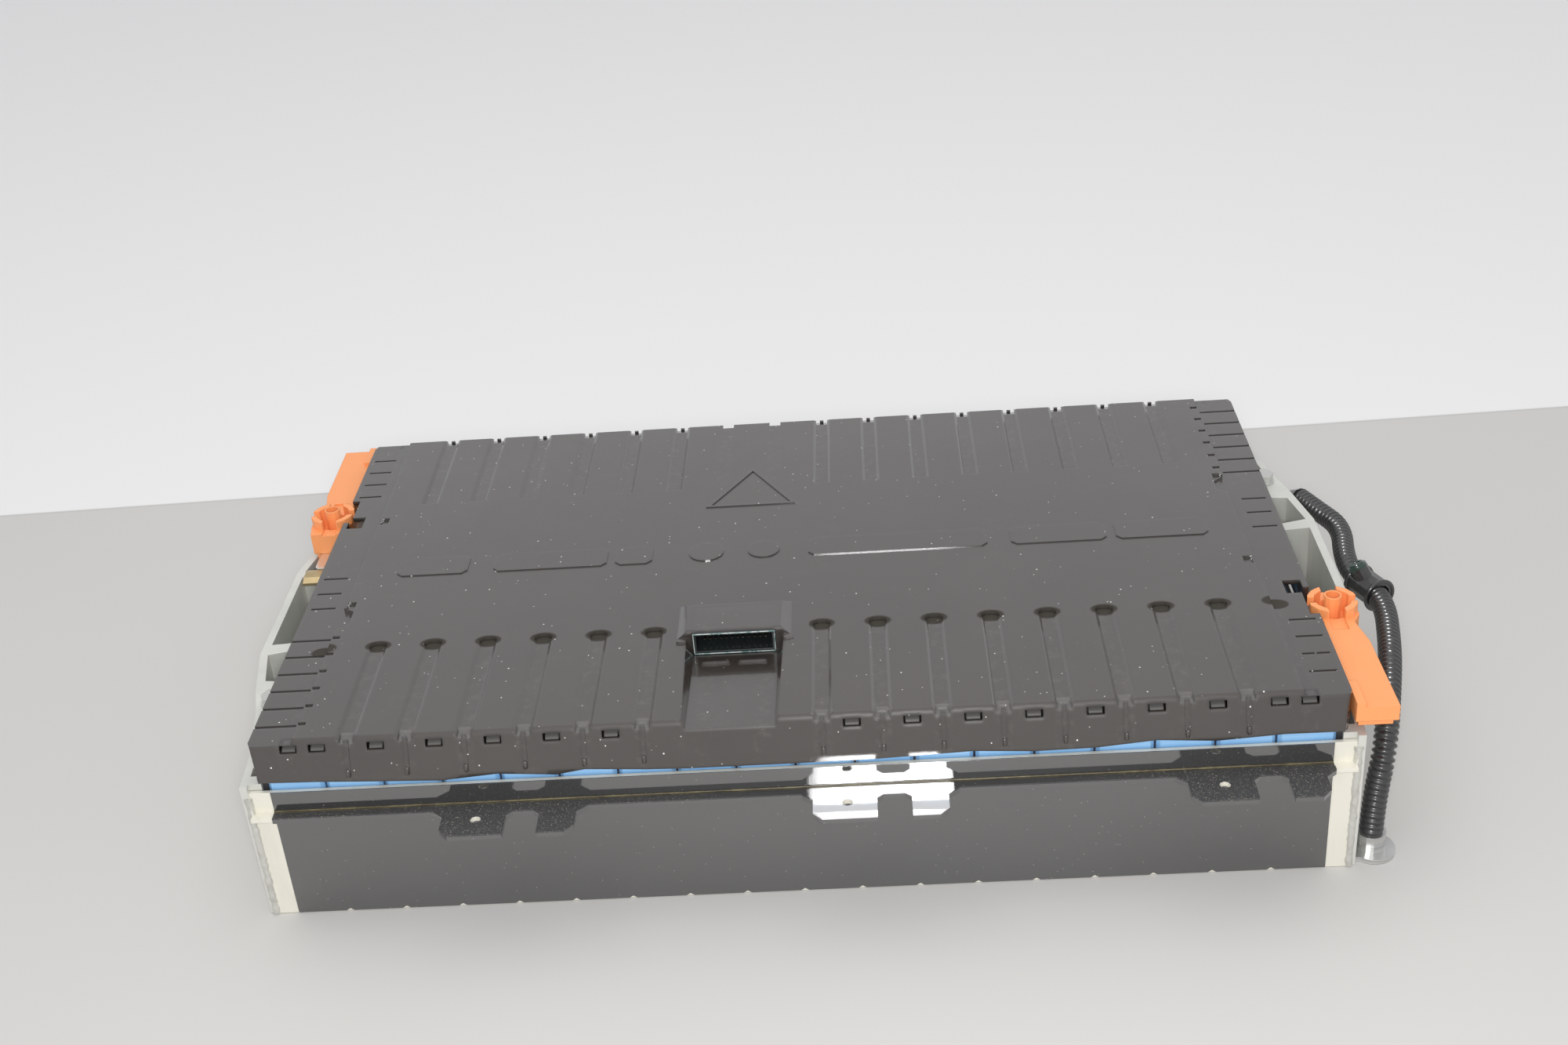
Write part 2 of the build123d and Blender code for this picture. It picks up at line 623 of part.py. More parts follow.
# ---------------------------------------------------------------- power terminals and their insulating covers
with BuildPart() as terminal_base_right:
    with BuildSketch(Plane.XY.offset(END_TOP)):
        with Locations((268.0, (-TERM_Y - TERM[1] / 2 + POLE[1] + 11.0) / 2)):
            Rectangle(11.0, TERM_Y + TERM[1] / 2 + POLE[1] + 11.0)
        with Locations(POLE):
            RegularPolygon(STUD_R + 0.3, SIDES, mode=Mode.SUBTRACT)
    extrude(amount=FLAT_Z - END_TOP)

save(terminal_base_right, "terminal_base_right")
terminal_base_left = turned(terminal_base_right, "terminal_base_left")

ARM_Z0, ARM_Z1 = 84.5, 92.5
GUARD_TOP = 97.5
GUARD_R, GUARD_IN = 12.4, 9.2  # ring of claws round the terminal
TUBE_R = 4.4
with BuildPart() as terminal_cover_right:
    with BuildSketch(Plane.XY.offset(ARM_Z0)):
        with BuildLine():
            Polyline(
                (260.4, -90.0),
                (262.6, -84.0),
                (276.0, -84.0),
                (277.6, -93.0),
                (279.6, -104.0),
                (280.2, -159.0),
                (260.4, -159.0),
                close=True,
            )
        make_face()
    extrude(amount=ARM_Z1 - ARM_Z0)
    # raised bead beside the module's cover, and a lower step set in at the far end
    with BuildSketch(Plane.XY.offset(ARM_Z1)):
        with Locations((262.5, -149.5)):
            Rectangle(4.2, 19.0)
    extrude(amount=2.2)
    with BuildSketch(Plane.XY.offset(ARM_Z0 - 3.4)):
        with Locations((270.2, -149.0)):
            Rectangle(16.0, 16.0)
    extrude(amount=3.4)
    # body that boxes in the terminal
    with BuildSketch(Plane.XY.offset(FLAT_Z + BAR_T)):
        with BuildLine():
            Polyline(
                (261.6, POLE[1] + 16.0),
                (278.8, POLE[1] + 16.0),
                (280.4, POLE[1] + 7.0),
                (280.4, POLE[1] - 7.0),
                (277.0, POLE[1] - 13.0),
                (261.6, POLE[1] - 13.0),
                close=True,
            )
        make_face()
    extrude(amount=ARM_Z1 - FLAT_Z - BAR_T)
    # hollow below the arm
    with BuildSketch(Plane.XY.offset(ARM_Z0 - 4)):
        with BuildLine():
            Polyline((262.6, POLE[1] - 15.0), (274.4, POLE[1] - 15.0), (277.8, -106.0), (278.0, -139.0), (262.6, -139.0), close=True)
        make_face()
        with Locations((270.2, -148.0)):
            Rectangle(12.0, 14.0)
    extrude(amount=ARM_Z1 - ARM_Z0 + 2.0, mode=Mode.SUBTRACT)
    # slot for the terminal bar in the inner wall
    with BuildSketch(Plane.XY.offset(FLAT_Z)):
        with Locations((261.4, -TERM_Y)):
            Rectangle(4.0, TERM[1] + 1)
    extrude(amount=BAR_Z + BAR_T + 0.5 - FLAT_Z, mode=Mode.SUBTRACT)
    # ring of four claws on the body, hollow down to a floor, with a tube in the middle for the stud
    with BuildSketch(Plane.XY.offset(ARM_Z1)):
        with Locations(POLE):
            RegularPolygon(GUARD_R, 16)
    extrude(amount=GUARD_TOP - ARM_Z1)
    with BuildSketch(Plane.XY.offset(86.0)):
        with Locations(POLE):
            RegularPolygon(GUARD_IN, SIDES)
    extrude(amount=20.0, mode=Mode.SUBTRACT)
    with BuildSketch(Plane.XY.offset(ARM_Z1 - 1.0)):
        with Locations(POLE):
            Rectangle(8.0, 40.0)
            Rectangle(40.0, 5.0)
    extrude(amount=20.0, mode=Mode.SUBTRACT)
    with BuildSketch(Plane.XY.offset(84.0)):
        with Locations(POLE):
            RegularPolygon(TUBE_R, SIDES)
    extrude(amount=COVER_TOP - 84.0)
    with BuildSketch(Plane.XY.offset(FLAT_Z)):
        with Locations(POLE):
            RegularPolygon(STUD_R + 0.3, SIDES)
    extrude(amount=30.0, mode=Mode.SUBTRACT)
    # clip leg that hooks into the chamber of the end plate
    with BuildSketch(Plane.XY.offset(70.5)):
        with Locations((276.2, POLE[1] + 14.2)):
            Rectangle(1.6, 3.4)
    extrude(amount=12.0)

save(terminal_cover_right, "terminal_cover_right")
terminal_cover_left = turned(terminal_cover_right, "terminal_cover_left")

# studs through the terminals
with BuildPart() as terminal_studs:
    with BuildSketch(Plane.XY.offset(END_TOP - 18)):
        with Locations(POLE, (-POLE[0], -POLE[1])):
            RegularPolygon(STUD_R, SIDES)
    extrude(amount=33.0)

save(terminal_studs, "terminal_studs")

# flat contact plate and sprung strip on the left end plate
with BuildPart() as contact_plate:
    with BuildSketch(Plane.XY.offset(END_TOP)):
        with Locations((-268.2, 51.2)):
            contact = Rectangle(13.4, 21.0)
        chamfer(contact.vertices(), 1.5)
    extrude(amount=3.0)

save(contact_plate, "contact_plate")

with BuildPart() as contact_strip:
    with BuildSketch(Plane.YZ.offset(-279.0)):
        with BuildLine():
            Polyline((27.0, 77.0), (40.4, 77.0), (40.4, 79.2), (37.0, 80.2), (31.0, 80.2), (27.0, 78.6), close=True)
        make_face()
    extrude(amount=17.0)

save(contact_strip, "contact_strip")

# ---------------------------------------------------------------- corrugated conduit at the right end
ROUTE = [
    (286.8, 77.0, 70.5),
    (292.0, 60.0, 72.0),
    (300.6, 39.0, 72.5),
    (294.8, 8.0, 72.0),
    (295.0, -13.0, 72.5),
    (305.6, -37.0, 72.5),
    (299.6, -78.0, 72.0),
    (290.5, -106.0, 71.0),
    (279.6, -145.5, 60.0),
    (SLEEVE[0], SLEEVE[1], 30.0),
    (SLEEVE[0], SLEEVE[1], SLEEVE_TOP),
]
BOOT_END = (281.6, 94.0, 63.0)
points = [Vector(*p) for p in ROUTE]
radii = []
for before, corner, after in zip(points, points[1:], points[2:]):
    run = min((corner - before).length, (after - corner).length)
    turn = (corner - before).get_angle(after - corner)
    radii.append(round(0.45 * run / max(0.02, math.tan(math.radians(turn / 2))), 2))
print("conduit bend radii", radii)

with BuildPart() as conduit:
    with BuildLine() as hose_path:
        FilletPolyline(*ROUTE, radius=radii)
    with BuildSketch(Plane(origin=ROUTE[0], z_dir=(points[1] - points[0]).normalized())):
        RegularPolygon(HOSE_R, SIDES)
    sweep(path=hose_path.wires()[0])

length = hose_path.wires()[0].length
print("conduit length", round(length, 1), "volume ratio", round(conduit.part.volume / (SIDES / 2 * math.sin(2 * math.pi / SIDES) * HOSE_R**2 * length), 4))
save(conduit, "conduit")

# collar with a capped branch where a second conduit can join, and the tapering boot at the upper end
tee_dir = (points[5] - points[4]).normalized()
tee_mid = points[4] + (points[5] - points[4]) * 0.5
with BuildPart() as conduit_tee:
    with BuildSketch(Plane(origin=tee_mid - tee_dir * 9, z_dir=tee_dir)):
        RegularPolygon(HOSE_R + 2.0, SIDES)
    extrude(amount=18)
    with BuildSketch(Plane(origin=tee_mid, z_dir=(-0.45, 0.35, 0.82))):
        RegularPolygon(5.0, SIDES)
    extrude(amount=12.5)
    add(conduit.part, mode=Mode.SUBTRACT)

save(conduit_tee, "conduit_tee")

boot_dir = Vector(*BOOT_END) - points[0]
with BuildPart() as conduit_boot:
    with BuildSketch(Plane(origin=points[0], z_dir=boot_dir)):
        RegularPolygon(HOSE_R - 0.3, SIDES)
    extrude(amount=boot_dir.length, taper=math.degrees(math.atan(2.5 / boot_dir.length)))
    add(conduit.part, mode=Mode.SUBTRACT)

save(conduit_boot, "conduit_boot")

# metal sleeve and foot that hold the lower end of the conduit
with BuildPart() as conduit_sleeve:
    with BuildSketch():
        with Locations((SLEEVE[0] + 0.5, SLEEVE[1] - 2.0)):
            RegularPolygon(11.0, 2 * SIDES)
        with Locations((270.0, SLEEVE[1])):
            Rectangle(12.0, 20.0)
    extrude(amount=2.6)
    with BuildSketch():
        with Locations(SLEEVE):
            RegularPolygon(SLEEVE_R, 2 * SIDES)
    extrude(amount=SLEEVE_TOP)
    add(end_plate_right.part, mode=Mode.SUBTRACT)

save(conduit_sleeve, "conduit_sleeve")
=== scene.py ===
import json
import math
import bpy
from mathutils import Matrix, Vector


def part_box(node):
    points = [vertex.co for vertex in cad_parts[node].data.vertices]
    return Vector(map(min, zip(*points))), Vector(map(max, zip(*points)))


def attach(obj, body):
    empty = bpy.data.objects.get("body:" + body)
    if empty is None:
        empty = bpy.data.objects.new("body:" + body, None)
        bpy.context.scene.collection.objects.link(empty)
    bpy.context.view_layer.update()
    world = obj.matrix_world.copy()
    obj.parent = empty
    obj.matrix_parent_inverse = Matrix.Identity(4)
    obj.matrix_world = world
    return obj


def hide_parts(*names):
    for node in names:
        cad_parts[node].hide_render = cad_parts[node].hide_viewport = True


bl_info = {
    "name": "Battery module dressing",
    "version": (1, 0, 0),
    "blender": (4, 5, 0),
    "location": "View3D > Sidebar > Battery module",
    "description": "Dresses the packed battery module: finishes, corrugated conduit, weld beads, trims and a plain stage",
    "category": "Object",
}

import bpy
from mathutils import Matrix, Vector

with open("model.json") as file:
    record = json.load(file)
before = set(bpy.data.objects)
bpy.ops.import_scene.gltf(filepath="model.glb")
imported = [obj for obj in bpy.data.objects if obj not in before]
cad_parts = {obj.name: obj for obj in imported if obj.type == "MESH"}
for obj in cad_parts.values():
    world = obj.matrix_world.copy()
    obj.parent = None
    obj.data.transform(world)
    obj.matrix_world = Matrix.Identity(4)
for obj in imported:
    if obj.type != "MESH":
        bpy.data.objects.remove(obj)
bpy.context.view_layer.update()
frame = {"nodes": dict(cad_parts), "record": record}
NODES = frame["nodes"]
MM = 0.001

PITCH = 28.2 * MM  # distance from one cell to the next
GROOVES = [(k - 7.5) * PITCH for k in range(6)] + [(k + 0.5) * PITCH for k in range(8)]  # in X

DIMPLE_Y = -75.2 * MM  # row of dimples at the inner ends of the front grooves
GROOVE_START = (74.0 * MM, 80.0 * MM)  # how far from the middle the grooves fade in
HOOD_X, HOOD_HALF = -28.2 * MM, 36.0 * MM  # middle and half width of the stretch without dimples
LEDGE_Z = (61.8 * MM, 63.4 * MM)  # heights between which the film lies flat
FOLD_Z = (61.9 * MM, 62.9 * MM)  # heights of the fold between the ledge and the wall above it
WALL_Y = (161.2 * MM, 160.0 * MM)  # where the olive line fades in towards the wall
MIDDLE_NOTCH_X = 46.0 * MM  # dust thickens away from it
REFLECTION_TAB_X = 39.5 * MM  # middle of the tab that gets the painted reflection
CELL_FILM_END = (64.0 * MM, 62.5 * MM)  # heights between which the blue turns to grey

BRANCH = Vector((-0.45, 0.35, 0.82)).normalized()  # direction of the conduit's capped branch
COLLAR_OFFSET = 8.6 * MM
CAP_OFFSET = 13.0 * MM

WELD_X, WELD_Y, WELD_Z = 262.8 * MM, 159.2 * MM, 1.2 * MM
WELD_HEIGHT = 70.5 * MM
WELD_STEPS = 48
GLUE_LENGTH, GLUE_Y, GLUE_Z = 503.0 * MM, 159.9 * MM, 62.8 * MM
RIM_WIDTH, RIM_DEPTH = 0.5 * MM, 0.6 * MM
TIP_Y, TIP_Z = 160.6 * MM, 82.4 * MM

# the camera: place in metres, angles in degrees, focal length as a share of the frame's width
CAMERA_PLACE = Vector((0.046042, -0.891275, 0.620983))
CAMERA_ANGLES = (29.4666, -3.2698, -4.6886)  # elevation, azimuth and roll
FOCAL_SHARE = 2456.62 / 2000.0
SENSOR = 36.0
FLOOR_LINE = (0.031, 0.2930)  # slope and start of the line where the lighter ground begins

# route of the conduit in metres: the solid one's, with two bends up to 2 mm nearer the module
CONDUIT_ROUTE = [
    (0.2868, 0.0770, 0.0705),
    (0.2920, 0.0600, 0.0720),
    (0.3006, 0.0390, 0.0725),
    (0.2948, 0.0080, 0.0720),
    (0.2950, -0.0130, 0.0725),
    (0.3050, -0.0370, 0.0725),
    (0.2975, -0.0780, 0.0720),
    (0.2905, -0.1060, 0.0710),
    (0.2796, -0.1455, 0.0600),
    (0.2760, -0.1470, 0.0300),
    (0.2760, -0.1470, 0.0110),
]


# ------------------------------------------------------------------ settings
def colour_setting(name, description, default):
    return bpy.props.FloatVectorProperty(
        name=name, description=description, default=default, size=3, min=0, max=1, subtype="COLOR"
    )


class ModuleStageSettings(bpy.types.PropertyGroup):
    floor_colour: colour_setting("Floor", "Colour of the floor under the module", (0.60, 0.588, 0.57))
    backdrop_colour: colour_setting("Backdrop", "Colour of the lighter ground behind the floor", (0.85, 0.845, 0.845))
    front_power: bpy.props.FloatProperty(
        name="Front lamp",
        description="Power of the small lamp behind the camera",
        default=6.0, min=0, unit="POWER",
    )
    overhead_power: bpy.props.FloatProperty(
        name="Overhead lamp",
        description="Power of the wide lamp above the module",
        default=6.0, min=0, unit="POWER",
    )
    room_level: bpy.props.FloatProperty(
        name="Room level",
        description="Brightness of the room around the module",
        default=0.75, min=0, max=3,
    )


class ModuleFinishSettings(bpy.types.PropertyGroup):
    cover_colour: colour_setting("Cover", "Moulded plastic of the top cover", (0.036, 0.029, 0.025))
    film_colour: colour_setting("Film", "Glossy film over the side plates", (0.022, 0.022, 0.023))
    cell_colour: colour_setting("Cell film", "Blue wrapping of the cells", (0.30, 0.56, 0.88))
    guard_colour: colour_setting("Terminal guard", "Orange plastic over the power terminals", (0.97, 0.36, 0.13))
    dust: bpy.props.FloatProperty(
        name="Dust",
        description="How much dust lies on the plastic",
        default=0.5, min=0, max=1, subtype="FACTOR",
    )


class ModuleConduitSettings(bpy.types.PropertyGroup):
    ring_pitch: bpy.props.FloatProperty(
        name="Ring pitch",
        description="Distance from one ring of the conduit to the next",
        default=0.0033, min=0.001, unit="LENGTH",
    )
    ring_radius: bpy.props.FloatProperty(
        name="Ring radius",
        description="Outer radius of a ring",
        default=0.0058, min=0.001, unit="LENGTH",
    )
    root_radius: bpy.props.FloatProperty(
        name="Root radius",
        description="Radius between two rings",
        default=0.0046, min=0.001, unit="LENGTH",
    )


# ------------------------------------------------------------------ small helpers
def deselect():
    if bpy.context.mode != "OBJECT":
        bpy.ops.object.mode_set(mode="OBJECT")
    bpy.ops.object.select_all(action="DESELECT")


def only(piece):
    deselect()
    piece.select_set(True)
    bpy.context.view_layer.objects.active = piece
    return piece


def added(name):
    piece = bpy.context.active_object
    piece.name = name
    piece.data.name = name
    return piece


def settle(piece):
    """Puts the piece's place into its mesh, so that its object sits at the origin."""
    only(piece)
    bpy.ops.object.transform_apply(location=True, rotation=True, scale=True)
    return piece


def apply_all(piece):
    only(piece)
    for modifier in list(piece.modifiers):
        bpy.ops.object.modifier_apply(modifier=modifier.name)
    return piece


def smooth(piece, degrees=40.0):
    only(piece)
    bpy.ops.object.shade_smooth_by_angle(angle=math.radians(degrees))
    return piece


def pick(piece, kind, test):
    """Selects what passes the test, in edit mode: faces by middle and normal, edges by both ends, points by place."""
    bpy.ops.object.mode_set(mode="EDIT")
    bpy.ops.mesh.select_mode(type=kind)
    bpy.ops.mesh.select_all(action="DESELECT")
    bpy.ops.object.mode_set(mode="OBJECT")
    points = piece.data.vertices
    if kind == "VERT":
        for point in points:
            point.select = test(point.co)
    elif kind == "EDGE":
        for edge in piece.data.edges:
            ends = [points[k].co for k in edge.vertices]
            edge.select = test(ends[0], ends[1])
    else:
        for face in piece.data.polygons:
            face.select = test(face.center, face.normal)
    bpy.ops.object.mode_set(mode="EDIT")


def done(piece):
    if bpy.context.mode != "OBJECT":
        bpy.ops.object.mode_set(mode="OBJECT")
    return piece


def outward(piece):
    """Turns every face of the piece outwards, after its doubled points are merged."""
    only(piece)
    bpy.ops.object.mode_set(mode="EDIT")
    bpy.ops.mesh.select_mode(type="VERT")
    bpy.ops.mesh.select_all(action="SELECT")
    bpy.ops.mesh.remove_doubles(threshold=0.000005)
    bpy.ops.mesh.normals_make_consistent(inside=False)
    return done(piece)


def bevelled(piece, width, segments=2, degrees=35.0):
    only(piece)
    edge = piece.modifiers.new("edges", "BEVEL")
    edge.width = width
    edge.segments = segments
    edge.limit_method = "ANGLE"
    edge.angle_limit = math.radians(degrees)
    return apply_all(piece)


def roughened(piece, scale, strength):
    """Moves the surface in and out like cast or welded metal."""
    only(piece)
    cloud = bpy.data.textures.new(piece.name + "_ripple", "CLOUDS")
    cloud.noise_scale = scale
    cloud.noise_depth = 2
    ripple = piece.modifiers.new("ripple", "DISPLACE")
    ripple.texture = cloud
    ripple.texture_coords = "LOCAL"
    ripple.strength = strength
    ripple.mid_level = 0.5
    return apply_all(piece)


def joined(pieces, name):
    deselect()
    for piece in pieces:
        piece.select_set(True)
    bpy.context.view_layer.objects.active = pieces[0]
    if len(pieces) > 1:
        bpy.ops.object.join()
    return settle(added(name))


def copied(piece, matrix):
    twin = piece.copy()
    twin.data = piece.data.copy()
    bpy.context.scene.collection.objects.link(twin)
    twin.data.transform(matrix)
    return twin


def dress(piece, material):
    """Gives the piece its material and slot, and makes it ride on the module's one body."""
    piece.data.materials.clear()
    piece.data.materials.append(material)
    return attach(piece, "root")


def lamp(name, at, aim, width, depth, power, colour=(1, 1, 1)):
    """A rectangular lamp at one point, turned to another."""
    light = bpy.data.lights.new(name, "AREA")
    light.shape = "RECTANGLE"
    light.size, light.size_y = width, depth
    light.energy = power
    light.color = colour
    thing = bpy.data.objects.new(name, light)
    bpy.context.scene.collection.objects.link(thing)
    thing.location = at
    thing.rotation_euler = (Vector(aim) - Vector(at)).to_track_quat("-Z", "Y").to_euler()


# ------------------------------------------------------------------ materials
class Finish:
    """A node material built step by step round one Principled shader."""

    def __init__(
        self, name, colour, roughness, metallic=0.0, specular=0.5, coat=0.0, coat_roughness=0.05, coat_ior=1.5
    ):
        self.material = bpy.data.materials.new(name)
        self.material.use_nodes = True
        self.tree = self.material.node_tree
        self.shader = self.tree.nodes["Principled BSDF"]
        self.shader.inputs["Base Color"].default_value = (*colour, 1)
        self.shader.inputs["Roughness"].default_value = roughness
        self.shader.inputs["Metallic"].default_value = metallic
        self.shader.inputs["Specular IOR Level"].default_value = specular
        self.shader.inputs["Coat Weight"].default_value = coat
        self.shader.inputs["Coat Roughness"].default_value = coat_roughness
        self.shader.inputs["Coat IOR"].default_value = coat_ior
        self.place = self.node("ShaderNodeTexCoord").outputs["Object"]
        self.normal = None

    def node(self, kind, **values):
        made = self.tree.nodes.new(kind)
        for key, value in values.items():
            setattr(made, key, value)
        return made

    def link(self, start, end):
        self.tree.links.new(start, end)

    def stretched(self, scale):
        mapping = self.node("ShaderNodeMapping")
        mapping.inputs["Scale"].default_value = scale
        self.link(self.place, mapping.inputs["Vector"])
        return mapping.outputs["Vector"]

    def noise(self, scale, detail=3.0, roughness=0.5, stretch=None):
        noise = self.node("ShaderNodeTexNoise")
        noise.inputs["Scale"].default_value = scale
        noise.inputs["Detail"].default_value = detail
        noise.inputs["Roughness"].default_value = roughness
        self.link(self.stretched(stretch) if stretch else self.place, noise.inputs["Vector"])
        return noise.outputs["Fac"]

    def ramp(self, source, low, high, dark=0.0, light=1.0):
        ramp = self.node("ShaderNodeMapRange")
        ramp.inputs["From Min"].default_value = low
        ramp.inputs["From Max"].default_value = high
        ramp.inputs["To Min"].default_value = dark
        ramp.inputs["To Max"].default_value = light
        self.link(source, ramp.inputs["Value"])
        return ramp.outputs["Result"]

    def maths(self, operation, one, other=0.0):
        """One step of arithmetic between two sockets or numbers."""
        step = self.node("ShaderNodeMath", operation=operation)
        for socket, value in zip(step.inputs, (one, other)):
            if isinstance(value, float):
                socket.default_value = value
            else:
                self.link(value, socket)
        return step.outputs[0]

    def times(self, *factors):
        product = factors[0]
        for factor in factors[1:]:
            product = self.maths("MULTIPLY", product, factor)
        return product

    def off(self, value, middle=0.0):
        """Distance of a value from a middle one."""
        return self.maths("ABSOLUTE", self.maths("SUBTRACT", value, middle))

    def between(self, value, limits):
        """1 between the two limits and 0 outside them."""
        return self.times(self.maths("GREATER_THAN", value, limits[0]), self.maths("LESS_THAN", value, limits[1]))

    def coordinates(self):
        """The three coordinates of the point being shaded."""
        parts = self.node("ShaderNodeSeparateXYZ")
        self.link(self.place, parts.inputs["Vector"])
        return parts.outputs["X"], parts.outputs["Y"], parts.outputs["Z"]

    def matt_where(self, mask, roughness):
        """Takes the coat away where the mask is high, and keeps the roughness at least that high there."""
        self.link(self.maths("SUBTRACT", 1.0, mask), self.shader.inputs["Coat Weight"])
        socket = self.shader.inputs["Roughness"]
        plain = socket.links[0].from_socket if socket.is_linked else socket.default_value
        self.link(self.maths("MAXIMUM", plain, self.times(mask, roughness)), socket)
        return self

    def tint(self, amount, colour):
        """Mixes colour over the base where amount is high."""
        mix = self.node("ShaderNodeMix", data_type="RGBA")
        self.link(amount, mix.inputs["Factor"])
        current = self.shader.inputs["Base Color"]
        if current.is_linked:
            self.link(current.links[0].from_socket, mix.inputs[6])
        else:
            mix.inputs[6].default_value = current.default_value
        mix.inputs[7].default_value = (*colour, 1)
        self.link(mix.outputs[2], current)
        return self

    def vary_roughness(self, source, low, high):
        self.link(self.ramp(source, 0.3, 0.7, low, high), self.shader.inputs["Roughness"])
        return self

    def relief(self, source, strength, distance):
        bump = self.node("ShaderNodeBump")
        bump.inputs["Strength"].default_value = strength
        bump.inputs["Distance"].default_value = distance
        self.link(source, bump.inputs["Height"])
        if self.normal is not None:
            self.link(self.normal, bump.inputs["Normal"])
        self.normal = bump.outputs["Normal"]
        self.link(self.normal, self.shader.inputs["Normal"])
        return self

    def rounded(self, radius):
        """Softens the look of every edge by that radius."""
        bevel = self.node("ShaderNodeBevel", samples=6)
        bevel.inputs["Radius"].default_value = radius
        self.normal = bevel.outputs["Normal"]
        self.link(self.normal, self.shader.inputs["Normal"])
        return self

    def specks(self, scale, size, share, colour, strength=1.0):
        """Sparse grains of dust: the centres of a few cells of a fine grid."""
        cells = self.node("ShaderNodeTexVoronoi")
        cells.inputs["Scale"].default_value = scale
        self.link(self.place, cells.inputs["Vector"])
        dot = self.ramp(cells.outputs["Distance"], size, size * 0.6)
        some = self.node("ShaderNodeSeparateColor")
        self.link(cells.outputs["Color"], some.inputs["Color"])
        chosen = self.ramp(some.outputs["Red"], 1.0 - share, 1.0 - share + 0.01)
        grains = self.times(dot, chosen)
        return self.tint(self.times(grains, strength), colour)


def off_cell_middle(finish, x):
    """How far a point lies from the middle line of the nearest cell, along the row."""
    cell = finish.maths("FRACT", finish.maths("ADD", finish.maths("DIVIDE", x, PITCH), 40.0))
    return finish.times(finish.off(cell, 0.5), PITCH)


